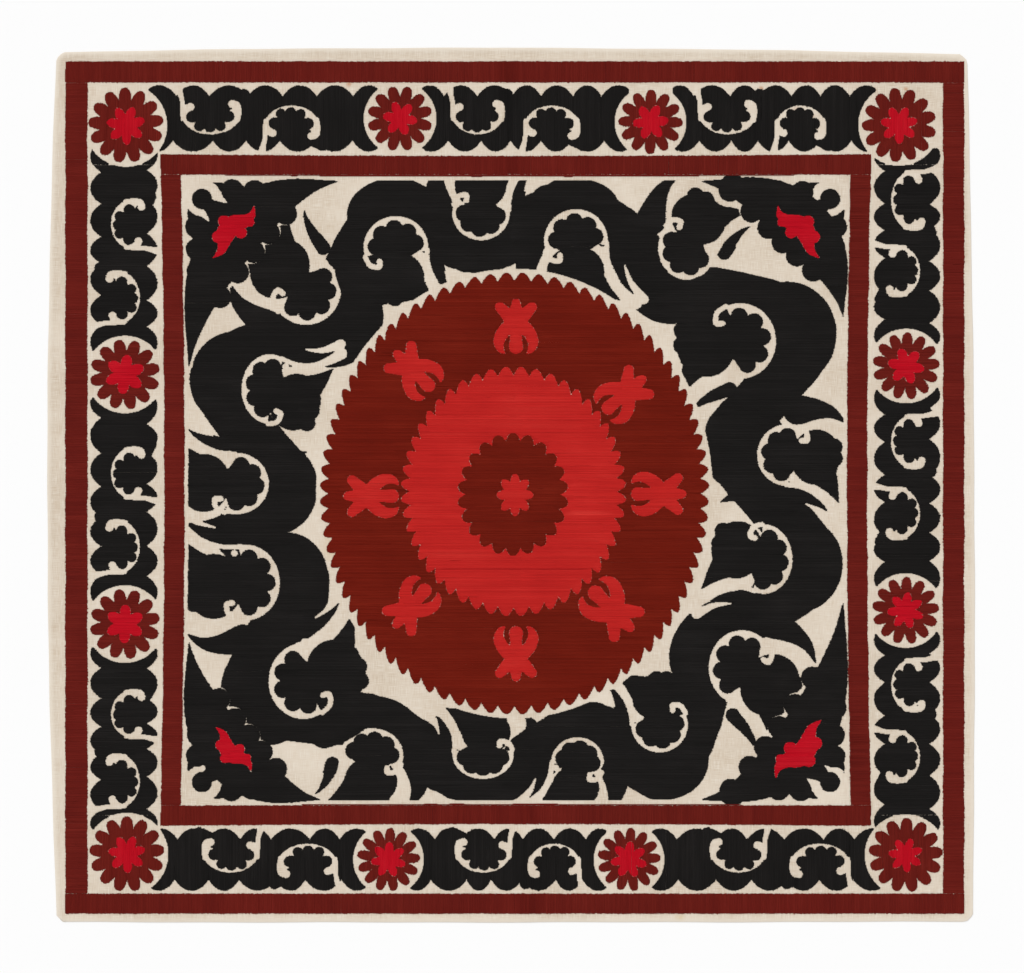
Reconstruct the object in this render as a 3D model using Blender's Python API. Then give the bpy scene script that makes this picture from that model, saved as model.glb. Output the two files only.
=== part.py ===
import math

import bpy
import numpy as np

# The cloth is drawn in millimetres about its centre, +Y towards the top edge.
clothSpan = dict(left=-930, right=934, bottom=-880, top=882)

# Turns of the main scroll, clockwise from the upper left. Columns: x and y of the palmette, half width, half height,
# the way its open side faces in degrees, depth of the band behind it.
turnRows = [
    (-410, 390, 70, 70, 135, 105), (-230, 475, 65, 63, 275, 75), (-60, 545, 58, 56, 85, 65), (130, 488, 64, 64, 275, 60),
    (352, 475, 58, 65, 60, 100), (458, 288, 72, 76, 190, 120), (552, 60, 60, 62, 350, 110), (505, -148, 58, 70, 170, 95),
    (462, -365, 67, 75, 325, 80), (297, -478, 57, 57, 100, 95), (133, -555, 53, 51, 260, 70), (-56, -540, 61, 48, 90, 50),
    (-278, -540, 63, 54, 262, 60), (-415, -392, 70, 76, 20, 95), (-530, -195, 68, 76, 180, 95), (-550, 3, 66, 62, 173, 100),
    (-482, 192, 57, 70, 343, 100),
]
# One turn, in shares of its palmette's half size: outwards on its open side, across towards its bud, half width in mm.
turnShape = dict(
    band=54, closed=206, lobes=(98, 138, 180, 222, 262), lobeReach=0.87, lobeEnd=17, lobeCore=34, head=0.52,
    root=(0.95, -0.1, 0.8, 0.9), rootLobes=((1.72, -0.7), (1.85, -0.2), (1.7, 0.3)), rootEnd=17,
    bud=(0.34, 0.77, 7),
    tail=[(0.15, 0.95, 5), (0.5, 0.93, 5), (0.9, 0.98, 5), (1.35, 1.13, 6), (1.8, 1.42, 9), (2.1, 1.7, 12)],
    slit=[(2.0, 1.95, 10), (1.45, 1.6, 6), (0.9, 1.45, 2)],
    curl=[(0.22, -0.97, 5), (0.5, -0.84, 5.5), (0.57, -0.58, 6), (0.4, -0.54, 6)],
    spikes=[[(1.2, 0.3, 30), (1.6, 0.72, 15), (1.95, 1.2, 1)],
            [(0.5, 1.2, 14), (1.0, 1.3, 11), (1.45, 1.5, 7), (1.85, 1.85, 1)],
            [(0.1, -1.5, 30), (0.7, -1.62, 20), (1.25, -1.6, 11), (1.75, -1.35, 1)]],
)
# Bare cloth between the scroll and the frame, and round the medallion.
fieldMargin = 8
# Corner sprays. Columns: corner x, y, the ways into the cloth, length up the side, length along the end, flame's size.
cornerRows = [
    (-660, 618, 1, -1, 380, 312, 1.0), (680, 618, -1, -1, 280, 297, 1.0),
    (680, -640, -1, 1, 405, 297, 1.1), (-660, -640, 1, 1, 325, 277, 0.85),
]
# One spray, in millimetres from its corner: inwards from the side, inwards from the end, half width.
sprayShape = dict(
    elbow=42, width=54, swell=1.15, outerLobe=22, innerLobe=22, outerStep=47, outerFirst=88, innerLobes=5, margin=6,
    root=[(92, 88, 36), (58, 60, 14)], ball=(42, 46, 20), hook=[(17, 48, 4), (19, 64, 5), (31, 71, 5), (44, 69, 2)], horn=[(34, 100, 14), (19, 77, 6), (16, 56, 1)],
    flame=[(146, 60, 1), (142, 78, 7), (126, 91, 13), (104, 98, 19), (90, 114, 19), (86, 132, 13), (80, 150, 8), (64, 164, 1)],
    buds=[(120, 113, 12), (86, 91, 12), (138, 93, 9), (74, 122, 12)],
)
# Rosettes clockwise from the upper left. Columns: x, y, half size, petals, half size and points of the star.
rosetteRows = [
    (-770, 719, 75, 13, 36, 7), (-222, 733, 65, 12, 32, 6), (279, 726, 64, 12, 33, 6), (776, 720, 74, 13, 35, 7),
    (790, 238, 67, 13, 34, 6), (789, -251, 67, 13, 34, 7), (789, -740, 74, 13, 32, 7), (236, -749, 63, 13, 34, 7),
    (-245, -749, 63, 13, 33, 7), (-768, -738, 75, 13, 35, 7), (-772, -278, 70, 12, 36, 6), (-772, 221, 70, 12, 37, 6),
]
# Border scrolls, clockwise round the cloth. Distances run clockwise along each side from its middle.
# Columns: side, middles of the rosettes at its two ends, half widths of its two palmettes.
borderRows = [
    ("top", -770, -222, 60, 56), ("top", -222, 280, 53, 56), ("top", 280, 774, 58, 50),
    ("right", -718, -238, 60, 51), ("right", -238, 250, 54, 52), ("right", 250, 735, 53, 52),
    ("bottom", -789, -236, 60, 56), ("bottom", -236, 246, 52, 56), ("bottom", 246, 766, 60, 57),
    ("left", -733, -278, 54, 48), ("left", -278, 221, 54, 52), ("left", 221, 718, 53, 50),
]
borderShape = dict(margin=6, notch=22, arches=7, leaves=(0.31, 0.605), leafOut=-3, first=30, uneven=7)
# The two dark red bars. Columns: left, right, top and bottom edge, and how far the middles of the sides lean inwards.
barRows = dict(
    outer=(-891, 906, 847, -857, 0), outerInside=(-847, 864, 805, -817, 0),
    inner=(-701, 720, 661, -681, 8), innerInside=(-661, 680, 620, -641, 8),
)
# The border between the bars. Columns: the middle of each side's run, its turn, and half of its free height.
sideFrames = {
    "top": (0, 733, 0, 72), "right": (792, 0, -90, 72), "bottom": (0, -749, 180, 68), "left": (-774, 0, 90, 73),
}


def smoothRun(rows, steps=6):
    # A Catmull-Rom run through rows of x, y, half width.
    points = np.array([rows[0], *rows, rows[-1]], float)
    out = []
    for a, b, c, d in zip(points, points[1:], points[2:], points[3:]):
        for k in range(steps):
            t = k / steps
            out.append(0.5 * (2 * b + (c - a) * t + (2 * a - 5 * b + 4 * c - d) * t**2 + (3 * b - a - 3 * c + d) * t**3))
    out.append(points[-1])
    return np.array(out)


class Canvas:
    # One signed field for each colour on a square grid, below zero inside the colour.
    def __init__(self, step, colours):
        self.step = step
        self.x = np.arange(clothSpan["left"], clothSpan["right"] + step, step, float)
        self.y = np.arange(clothSpan["bottom"], clothSpan["top"] + step, step, float)
        self.fields = {c: np.full((len(self.y), len(self.x)), 40.0, np.float32) for c in colours}

    def window(self, box):
        left, right, bottom, top = box
        i = slice(*np.searchsorted(self.x, (left, right)))
        j = slice(*np.searchsorted(self.y, (bottom, top)))
        return j, i, self.x[i][None, :], self.y[j][:, None]

    def apply(self, colour, shape, box):
        # Paints a shape in one colour and takes it out of the rest. No colour bares the cloth.
        j, i, x, y = self.window(box)
        depth = shape(x, y).astype(np.float32)
        for name, field in self.fields.items():
            if name == colour:
                field[j, i] = np.minimum(field[j, i], depth)
            else:
                field[j, i] = np.maximum(field[j, i], -depth)


def ellipse(canvas, colour, x0, y0, rx, ry, turned=0.0):
    c, s = math.cos(turned), math.sin(turned)
    def shape(x, y):
        u, v = (x - x0) * c + (y - y0) * s, (y - y0) * c - (x - x0) * s
        return (np.hypot(u / rx, v / ry) - 1) * min(rx, ry)
    grow = max(rx, ry) + 12
    canvas.apply(colour, shape, (x0 - grow, x0 + grow, y0 - grow, y0 + grow))


def run(canvas, colour, rows, steps=6):
    # A round-ended stroke whose half width changes along its way.
    points = smoothRun(rows, steps)
    def shape(x, y):
        best = np.full((y.shape[0], x.shape[1]), 60.0)
        for a, b in zip(points, points[1:]):
            ex, ey = b[0] - a[0], b[1] - a[1]
            t = np.clip(((x - a[0]) * ex + (y - a[1]) * ey) / (ex * ex + ey * ey + 1e-6), 0, 1)
            d = np.hypot(x - a[0] - t * ex, y - a[1] - t * ey) - (a[2] + t * (b[2] - a[2]))
            best = np.minimum(best, d)
        return best
    grow = points[:, 2].max() + 12
    canvas.apply(colour, shape, (points[:, 0].min() - grow, points[:, 0].max() + grow,
                                 points[:, 1].min() - grow, points[:, 1].max() + grow))


def lobeTo(canvas, colour, x0, y0, tip, core, end):
    # A round-ended lobe from a middle out to its tip.
    length = math.hypot(tip[0] - x0, tip[1] - y0)
    ux, uy = (tip[0] - x0) / length, (tip[1] - y0) / length
    run(canvas, colour, ((x0, y0, core), (tip[0] - ux * end, tip[1] - uy * end, end)), 1)


def serrated(canvas, colour, x0, y0, rx, ry, teeth, depth, power=1.7, phase=0.0, lean=0.0):
    # A round form whose rim is a row of evenly spaced teeth.
    t = np.linspace(0, 2 * math.pi, 721)
    length = np.concatenate([[0], np.cumsum(np.hypot(rx * np.diff(np.cos(t)), ry * np.diff(np.sin(t))))])
    length /= length[-1]
    mean = math.sqrt(rx * ry)
    def shape(x, y):
        u, v = (x - x0) / rx, (y - y0) / ry
        rho = np.hypot(u, v) + 1e-9
        angle = np.arctan2(v, u) % (2 * math.pi)
        out = (rho - 1) * np.hypot(x - x0, y - y0) / rho
        slant = lean * (out - depth) * np.sin(2 * angle) / (2 * math.pi * mean) * teeth
        tooth = (np.interp(angle, t, length) * teeth + phase - slant) % 1
        return out - depth * (1 - np.abs(2 * tooth - 1) ** power)
    grow = depth + 22
    canvas.apply(colour, shape, (x0 - rx - grow, x0 + rx + grow, y0 - ry - grow, y0 + ry + grow))


def turnFrame(row):
    # Places a point of the turn's shape. The bud lies on the clockwise side of every turn.
    x0, y0, rx, ry, opens, depth = row
    out = np.array((math.cos(math.radians(opens)), math.sin(math.radians(opens))))
    hand = 1 if out @ (x0, y0) < 0 else -1
    across = hand * np.array((-out[1], out[0]))
    def at(u, v, w=0):
        offset = (u * out + v * across) * (rx, ry)
        return x0 + offset[0], y0 + offset[1], w
    return out, across, at


def scrollField(canvas, colour):
    # The main scroll: its winding band and roots first, then the hollows, heads, cream channels and spikes of its turns.
    winding = []
    for row, after in zip(turnRows, turnRows[1:] + turnRows[:1]):
        behind = turnFrame(row)[0] * (math.sqrt(row[2] * row[3]) + row[5] / 2)
        winding.append((row[0] - behind[0], row[1] - behind[1], row[5] * 0.5))
        winding.append(((row[0] + after[0]) / 2, (row[1] + after[1]) / 2, turnShape["band"]))
    run(canvas, colour, winding + winding[:2], 4)
    for row in turnRows:
        x0, y0, rx, ry, opens, depth = row
        out, across, at = turnFrame(row)
        size = math.sqrt(rx * ry)
        half = (size + depth) / 2
        ellipse(canvas, colour, x0 - out[0] * half, y0 - out[1] * half, half, size + 28, math.radians(opens))
        u, v, longways, sideways = turnShape["root"]
        ellipse(canvas, colour, *at(u, v)[:2], size * longways, size * sideways, math.radians(opens))
        for tip in turnShape["rootLobes"]:
            lobeTo(canvas, colour, *at(u, v)[:2], at(*tip), turnShape["lobeCore"], turnShape["rootEnd"])
    for row in turnRows:
        x0, y0, rx, ry, opens, depth = row
        def hollow(x, y):
            turned = (np.degrees(np.arctan2((y - y0) / ry, (x - x0) / rx)) - opens) % 360
            away = np.abs(turned - 180) - turnShape["closed"] / 2
            return np.maximum((np.hypot((x - x0) / rx, (y - y0) / ry) - 1) * min(rx, ry), away)
        canvas.apply(None, hollow, (x0 - rx - 9, x0 + rx + 9, y0 - ry - 9, y0 + ry + 9))
    for row in turnRows:
        out, across, at = turnFrame(row)
        ellipse(canvas, colour, row[0], row[1], row[2] * turnShape["head"], row[3] * turnShape["head"])
        for angle in turnShape["lobes"]:
            reach = turnShape["lobeReach"]
            tip = at(reach * math.cos(math.radians(angle)), reach * math.sin(math.radians(angle)))
            lobeTo(canvas, colour, row[0], row[1], tip, turnShape["lobeCore"], turnShape["lobeEnd"])
    for name in ("tail", "spikes", "tail", "slit", "curl"):
        for row in turnRows:
            out, across, at = turnFrame(row)
            runs = turnShape[name] if name == "spikes" else [turnShape[name]]
            for points in runs:
                run(canvas, colour if name == "spikes" else None, [at(*point) for point in points])
    for row in turnRows:
        x, y, r = turnFrame(row)[2](*turnShape["bud"])
        ellipse(canvas, None, x, y, r, r)
    inset = fieldMargin
    canvas.apply(None, lambda x, y: -barFrame(x, y, "innerInside") - inset, (-800, 800, -740, 740))
    ellipse(canvas, None, 7, -17, 372 + 17 + inset, 425 + 17 + inset)


def borderScroll(canvas, colour, row):
    side, start, end, *halves = row
    x0, y0, turn, free = sideFrames[side]
    c, s = round(math.cos(math.radians(turn))), round(math.sin(math.radians(turn)))
    crest, notch, leafShift = free - borderShape["margin"], borderShape["notch"], borderShape["leafOut"]
    random = np.random.default_rng(int(abs(start) + abs(end)))
    def place(u, v):
        return x0 + u * c - v * s, y0 + u * s + v * c
    def local(x, y):
        return (x - x0) * c + (y - y0) * s, -(x - x0) * s + (y - y0) * c
    def notches():
        marks = np.linspace(start + borderShape["first"], end - borderShape["first"], borderShape["arches"] + 1)
        marks[1:-1] += random.uniform(-1, 1, len(marks) - 2) * borderShape["uneven"]
        return marks
    def rim(u, marks):
        # Arches between the notches.
        k = np.clip(np.searchsorted(marks, u) - 1, 0, len(marks) - 2)
        t = np.clip((u - marks[k]) / (marks[k + 1] - marks[k]), 0, 1)
        return crest - notch * np.abs(2 * t - 1) ** 2.2
    outer, inner = notches(), notches()
    def band(x, y):
        u, v = local(x, y)
        ends = np.maximum(start + 44 - u, u - end + 44)
        return np.maximum(np.maximum(v - rim(u, outer), -v - rim(u, inner)), ends) * 0.8 + 0 * x
    corners = [place(start, -80), place(end, 80)]
    xs, ys = [p[0] for p in corners], [p[1] for p in corners]
    canvas.apply(colour, band, (min(xs), max(xs), min(ys), max(ys)))
    for share, half, way in zip(borderShape["leaves"], halves, (1, -1)):
        middle = start + share * (end - start)
        def hollow(x, y):
            u, v = local(x, y)
            v = (v - leafShift) * way
            return np.maximum((np.hypot((u - middle) / half, (v - 14) / 43) - 1) * 43, v - 26)
        px, py = place(middle, 0)
        canvas.apply(None, hollow, (px - 90, px + 90, py - 90, py + 90))
        def at(u, v, w):
            return (*place(middle + u * half, v * way + leafShift), w)
        px, py = place(middle, 14 * way + leafShift)
        ellipse(canvas, colour, px, py, *((half * 0.6, 28) if c else (28, half * 0.6)))
        run(canvas, colour, (at(-0.55, 26, 12), at(0.45, 30, 14), at(1.1, 50, 12)), 1)
        for u, v, w in ((-0.82, 4, 11), (-0.5, -20, 10), (-0.04, -25, 11), (0.42, -20, 10), (0.78, 5, 11)):
            lobeTo(canvas, colour, px, py, place(middle + u * half, v * way + leafShift), 20, w)
        run(canvas, None, (at(-0.93, 2, 5), at(-0.95, 20, 5), at(-0.96, 38, 5), at(-1.02, 52, 6), at(-1.1, 72, 9)))
        run(canvas, None, (at(0.9, 0, 5), at(0.94, 16, 5), at(0.88, 30, 6), at(0.7, 32, 8)))
        run(canvas, None, (at(-0.96, 14, 4), at(-0.86, 23, 6), at(-0.68, 26, 8)))
    for x, y, r, *rest in rosetteRows:
        if start - 20 < local(x, y)[0] < end + 20 and abs(local(x, y)[1]) < 40:
            ellipse(canvas, None, x, y, r + 8, r + 8)


def cornerSpray(canvas, row, dark, bright):
    # Bares a margin round the spray first, so that it stands clear of the scroll.
    cornerX, cornerY, wayX, wayY, up, along, flameSize = row
    shape = sprayShape
    def at(u, v, w=0):
        return cornerX + u * wayX, cornerY + v * wayY, w
    def bent(t):
        ends = (1 - t) ** 2 * np.array((16, up)) + t**2 * np.array((along, 11))
        u, v = ends + 2 * t * (1 - t) * shape["elbow"]
        return u, v, max(1.0, shape["width"] * math.sin(math.pi * t) ** shape["swell"])
    spine = [bent(t) for t in np.linspace(0, 1, 17)]
    outer = [(13, v) for v in np.arange(shape["outerFirst"], up - 110, shape["outerStep"])]
    outer += [(u, 12) for u in np.arange(shape["outerFirst"], along - 50, shape["outerStep"])]
    inner = []
    for t in np.linspace(0.25, 0.76, shape["innerLobes"]):
        (u, v, w), (nextU, nextV, _) = bent(t), bent(t + 0.01)
        length = math.hypot(nextU - u, nextV - v)
        away = (w + shape["innerLobe"]) / length
        inner.append((u + (v - nextV) * away, v + (nextU - u) * away))
    for colour, grow in ((None, shape["margin"]), (dark, 0)):
        run(canvas, colour, [at(u, v, w + grow) for u, v, w in spine], 2)
        for tips, end in ((outer, shape["outerLobe"]), (inner, shape["innerLobe"])):
            for tip in tips:
                near = min(spine, key=lambda point: math.dist(point[:2], tip) - 0.3 * point[2])
                lobeTo(canvas, colour, *at(*near[:2])[:2], at(*tip), end + 4 + grow, end + grow)
        run(canvas, colour, [at(*point) for point in shape["root"]], 1)
        u, v, r = shape["ball"]
        ellipse(canvas, colour, *at(u, v)[:2], r + grow, r + grow)
        for flip in (False, True):
            run(canvas, colour, [at(*((v, u) if flip else (u, v)), w) for u, v, w in shape["horn"]])
    for flip in (False, True):
        run(canvas, None, [at(*((v, u) if flip else (u, v)), w) for u, v, w in shape["hook"]])
    middle = (104, 108)
    def sized(u, v, w):
        return at(middle[0] + (u - middle[0]) * flameSize, middle[1] + (v - middle[1]) * flameSize, w * flameSize)
    run(canvas, bright, [sized(*point) for point in shape["flame"]])
    for bud in shape["buds"]:
        x, y, r = sized(*bud)
        ellipse(canvas, bright, x, y, r, r)


def medallionEdge(canvas, colour):
    serrated(canvas, colour, 7, -17, 372, 425, 80, 17, 1.8, lean=0.7)


def barFrame(x, y, name):
    # A bar's edge: it leans in a little at the middle of each side and wavers with the needlework.
    left, right, top, bottom, lean = barRows[name]
    def waver(at, seed):
        bow = lean * np.clip(1 - (at / 660) ** 2, 0, 1)
        return bow + 0.5 * np.sin(at / 31 + seed) + 0.4 * np.sin(at / 9.7 + 2 * seed)
    return np.maximum(np.maximum(left + waver(y, left) - x, x - right + waver(y, right)),
                      np.maximum(bottom + 0.4 * waver(x, bottom) - y, y - top + 0.4 * waver(x, top)))


def rosette(canvas, row, dark, bright):
    x, y, half, petals, starHalf, points = row
    serrated(canvas, dark, x, y, half - 24, half - 24, petals, 24, 2.6, x / 37)
    if bright:
        serrated(canvas, bright, x, y, starHalf - 15, starHalf - 15, points, 18, 1.8, y / 31)

# The cloth's own edge, side by side clockwise from the lower left: where a side starts, and how far its middle bulges.
rim = dict(width=1856, length=1750, corner=13, stations=9)
sideRows = [(-908, -874, 19), (-909, 866, 11), (914, 862, 9), (925, -873, 1)]


def rimPoints():
    # Bowed sides with blunt corners, brought to the cloth's width and length and centred on it.
    points = []
    for (x, y, bulge), (endX, endY, _) in zip(sideRows, sideRows[1:] + sideRows[:1]):
        long = math.dist((x, y), (endX, endY))
        across, along = (endX - x) / long, (endY - y) / long
        for t in np.linspace(rim["corner"] / long, 1 - rim["corner"] / long, rim["stations"]):
            out = 4 * t * (1 - t) * bulge
            points.append((x + across * t * long - along * out, y + along * t * long + across * out))
    points = np.array(points)
    low, high = points.min(axis=0), points.max(axis=0)
    return (points - (low + high) / 2) * (rim["width"], rim["length"]) / (high - low)


rimRows = rimPoints()
# Thicknesses and gaps in millimetres.
sheet = dict(cloth=1.5, gap=0.3, stitches=0.8, step=3.0, between=1.3, keep=2.2, leastArea=1500)
colours = dict(
    cloth=(0.73, 0.62, 0.51), bar=(0.127, 0.012, 0.009), medallion=(0.147, 0.011, 0.006),
    rosette=(0.125, 0.012, 0.009), black=(0.0137, 0.0123, 0.0116),
)


def drawNodes(step):
    # Each stitched field is painted on the canvas under its own node's name.
    places = ("top_left", "top_right", "bottom_right", "bottom_left")
    sprays = ["corner_spray_" + place for place in places]
    borders = [f"border_scroll_{k + 1:02d}" for k in range(len(borderRows))]
    rosettes = [f"rosette_{k + 1:02d}" for k in range(len(rosetteRows))]
    canvas = Canvas(step, ["outer_bar", "inner_bar", "main_scroll", "medallion", *sprays, *borders, *rosettes])
    whole = (clothSpan["left"], clothSpan["right"], clothSpan["bottom"], clothSpan["top"])
    scrollField(canvas, "main_scroll")
    for name, row in zip(sprays, cornerRows):
        cornerSpray(canvas, row, name, name)
    medallionEdge(canvas, "medallion")
    for name, row in zip(borders, borderRows):
        borderScroll(canvas, name, row)
    for name, row in zip(rosettes, rosetteRows):
        rosette(canvas, row, name, None)
    for name, outside, inside in (("outer_bar", "outer", "outerInside"), ("inner_bar", "inner", "innerInside")):
        canvas.apply(name, lambda x, y: np.maximum(barFrame(x, y, outside), -barFrame(x, y, inside)), whole)
    return canvas


def crossing(field, xs, ys, edge):
    # The point where the field passes zero on one side of a grid cell.
    j, i, upright = edge
    a, b = field[j, i], field[j + upright, i + 1 - upright]
    t = a / (a - b)
    return xs[i] + (1 - upright) * t * (xs[1] - xs[0]), ys[j] + upright * t * (ys[1] - ys[0])


def outlines(field, xs, ys):
    # Marching squares: closed loops round everything below zero, the inside on the left.
    inside = field < 0
    square = inside[:-1, :-1] * 1 + inside[:-1, 1:] * 2 + inside[1:, 1:] * 4 + inside[1:, :-1] * 8
    follows = {}
    for j, i in zip(*np.nonzero((square > 0) & (square < 15))):
        corners = (inside[j, i], inside[j, i + 1], inside[j + 1, i + 1], inside[j + 1, i])
        edges = ((j, i, 0), (j, i + 1, 1), (j + 1, i, 0), (j, i, 1))
        leaves = [k for k in range(4) if corners[k] and not corners[(k + 1) % 4]]
        enters = [k for k in range(4) if not corners[k] and corners[(k + 1) % 4]]
        if len(leaves) == 1:
            follows[edges[leaves[0]]] = edges[enters[0]]
            continue
        turn = 1 if field[j:j + 2, i:i + 2].mean() < 0 else 3
        for k in leaves:
            follows[edges[k]] = edges[(k + turn) % 4]
    loops = []
    while follows:
        edge, after = follows.popitem()
        loop = [crossing(field, xs, ys, edge)]
        while after in follows:
            loop.append(crossing(field, xs, ys, after))
            after = follows.pop(after)
        loops.append(np.array(loop))
    return loops


def simplified(loop, keep):
    # Leaves out the points that lie within a small distance of the line between those kept.
    far = int(np.argmax(np.hypot(*(loop - loop[0]).T)))
    points = np.vstack([loop, loop[:1]])
    kept, spans = {0, far, len(loop)}, [(0, far), (far, len(loop))]
    while spans:
        a, b = spans.pop()
        if b - a < 2:
            continue
        along = points[b] - points[a]
        off = points[a + 1:b] - points[a]
        length = max(np.hypot(*along), 1e-6)
        away = np.abs(off[:, 0] * along[1] - off[:, 1] * along[0]) / length
        if length < 1e-3:
            away = np.hypot(off[:, 0], off[:, 1])
        worst = a + 1 + int(np.argmax(away))
        if away.max() > keep:
            kept.add(worst)
            spans += [(a, worst), (worst, b)]
    return points[sorted(kept)[:-1]]


def areaOf(loop):
    return 0.5 * np.sum(loop[:, 0] * np.roll(loop[:, 1], -1) - loop[:, 1] * np.roll(loop[:, 0], -1))


def holds(loop, point):
    a, b = loop, np.roll(loop, -1, axis=0)
    crosses = (a[:, 1] > point[1]) != (b[:, 1] > point[1])
    rise = np.where(b[:, 1] == a[:, 1], 1.0, b[:, 1] - a[:, 1])
    return np.sum(crosses & (point[0] < (b[:, 0] - a[:, 0]) * (point[1] - a[:, 1]) / rise + a[:, 0])) % 2 == 1


def bodiesOf(canvas, name):
    # One list of loops for each body of a field: its outline, then its holes.
    field = canvas.fields[name].astype(float) + sheet["between"]
    field[[0, -1], :] = 1.0
    field[:, [0, -1]] = 1.0
    field[np.abs(field) < 1e-4] = 1e-4
    loops = outlines(field, canvas.x, canvas.y)
    areas = [areaOf(loop) for loop in loops]
    outer = [loop for loop, area in zip(loops, areas) if area > sheet["leastArea"]]
    outer.sort(key=lambda loop: -areaOf(loop))
    holes = [loop for loop, area in zip(loops, areas) if area < -60]
    bodies = []
    for loop in outer:
        inner = [hole for hole in holes if holds(loop, hole[0])]
        bodies.append([simplified(part, sheet["keep"]) for part in (loop, *inner)])
    return bodies


def material(name, colour, roughness=0.85):
    made = bpy.data.materials.new(name)
    made.use_nodes = True
    shader = made.node_tree.nodes["Principled BSDF"]
    shader.inputs["Base Color"].default_value = (*colour, 1.0)
    shader.inputs["Roughness"].default_value = roughness
    made.diffuse_color = (*colour, 1.0)
    return made


def flatSolid(name, loops, bottom, thick, made):
    # A flat outline filled and made thick, in metres.
    data = bpy.data.curves.new(name, "CURVE")
    data.dimensions = "2D"
    data.fill_mode = "BOTH"
    data.extrude = thick / 2000
    data.resolution_u = 1
    for loop in loops:
        spline = data.splines.new("POLY")
        spline.points.add(len(loop) - 1)
        for point, (x, y) in zip(spline.points, loop):
            point.co = (x / 1000, y / 1000, 0, 1)
        spline.use_cyclic_u = True
    body = bpy.data.objects.new(name, data)
    body.location.z = (bottom + thick / 2) / 1000
    data.materials.append(made)
    suzani.objects.link(body)
    return body


for thing in list(bpy.data.objects):
    bpy.data.objects.remove(thing, do_unlink=True)

suzani = bpy.data.collections.new("suzani")
bpy.context.scene.collection.children.link(suzani)
made = {name: material(name, colour) for name, colour in colours.items()}
flatSolid("ground_cloth", [rimRows], 0, sheet["cloth"], made["cloth"])
canvas = drawNodes(sheet["step"])
pointCount = 0
for name in canvas.fields:
    kind = "bar" if name.endswith("bar") else name.split("_")[0]
    colour = made.get(kind, made["black"])
    for k, loops in enumerate(bodiesOf(canvas, name)):
        part = name if k == 0 else f"{name}_leaf_{k}"
        flatSolid(part, loops, sheet["cloth"] + sheet["gap"], sheet["stitches"], colour)
        pointCount += sum(len(loop) for loop in loops)
        print(part, len(loops), sum(len(loop) for loop in loops), round(areaOf(loops[0])))
print("outline points:", pointCount)
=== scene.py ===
import math
import bpy
import mathutils
import numpy as np
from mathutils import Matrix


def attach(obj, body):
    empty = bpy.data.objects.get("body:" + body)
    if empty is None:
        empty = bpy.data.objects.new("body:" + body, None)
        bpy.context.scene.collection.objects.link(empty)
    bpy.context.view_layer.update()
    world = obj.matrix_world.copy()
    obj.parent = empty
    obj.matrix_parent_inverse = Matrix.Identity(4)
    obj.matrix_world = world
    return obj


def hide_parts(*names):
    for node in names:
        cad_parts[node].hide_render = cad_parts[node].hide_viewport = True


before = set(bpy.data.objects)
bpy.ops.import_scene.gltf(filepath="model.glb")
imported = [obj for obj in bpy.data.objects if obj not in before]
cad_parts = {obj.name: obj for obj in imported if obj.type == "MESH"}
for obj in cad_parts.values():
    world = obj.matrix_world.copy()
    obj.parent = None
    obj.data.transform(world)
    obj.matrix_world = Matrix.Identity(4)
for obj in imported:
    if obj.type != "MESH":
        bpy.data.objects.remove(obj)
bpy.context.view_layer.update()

# The cloth is drawn in millimetres about its centre, +Y towards the top edge.
clothSpan = dict(left=-930, right=934, bottom=-880, top=882)

# Turns of the main scroll, clockwise from the upper left. Columns: x and y of the palmette, half width,
# half height, the way its open side faces in degrees, depth of the band behind it.
turnRows = [
    (-410, 390, 70, 70, 135, 105),
    (-230, 475, 65, 63, 275, 75),
    (-60, 545, 58, 56, 85, 65),
    (130, 488, 64, 64, 275, 60),
    (352, 475, 58, 65, 60, 100),
    (458, 288, 72, 76, 190, 120),
    (552, 60, 60, 62, 350, 110),
    (505, -148, 58, 70, 170, 95),
    (462, -365, 67, 75, 325, 80),
    (297, -478, 57, 57, 100, 95),
    (133, -555, 53, 51, 260, 70),
    (-56, -540, 61, 48, 90, 50),
    (-278, -540, 63, 54, 262, 60),
    (-415, -392, 70, 76, 20, 95),
    (-530, -195, 68, 76, 180, 95),
    (-550, 3, 66, 62, 173, 100),
    (-482, 192, 57, 70, 343, 100),
]
# One turn, in shares of its palmette's half size: outwards on its open side, across towards its bud,
# half width in mm.
turnShape = dict(
    band=54, bandOut=28, closed=206, head=0.52,
    lobes=(98, 138, 180, 222, 262), lobeReach=0.87, lobeEnd=17, lobeCore=34,
    root=(0.95, -0.1, 0.8, 0.9), rootLobes=((1.72, -0.7), (1.85, -0.2), (1.7, 0.3)), rootEnd=17,
    bud=(0.34, 0.77, 7),
    tail=[(0.15, 0.95, 5), (0.5, 0.93, 5), (0.9, 0.98, 5), (1.35, 1.13, 6), (1.8, 1.42, 9), (2.1, 1.7, 12)],
    slit=[(2.0, 1.95, 10), (1.45, 1.6, 6), (0.9, 1.45, 2)],
    curl=[(0.22, -0.97, 5), (0.5, -0.84, 5.5), (0.57, -0.58, 6), (0.4, -0.54, 6)],
    spikes=[[(1.2, 0.3, 30), (1.6, 0.72, 15), (1.95, 1.2, 1)],
            [(0.5, 1.2, 14), (1.0, 1.3, 11), (1.45, 1.5, 7), (1.85, 1.85, 1)],
            [(0.1, -1.5, 30), (0.7, -1.62, 20), (1.25, -1.6, 11), (1.75, -1.35, 1)]],
)
# Bare cloth between the scroll and the frame, and round the medallion, and a box well outside the field.
fieldMargin = 8
fieldBox = (-800, 800, -740, 740)
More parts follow.
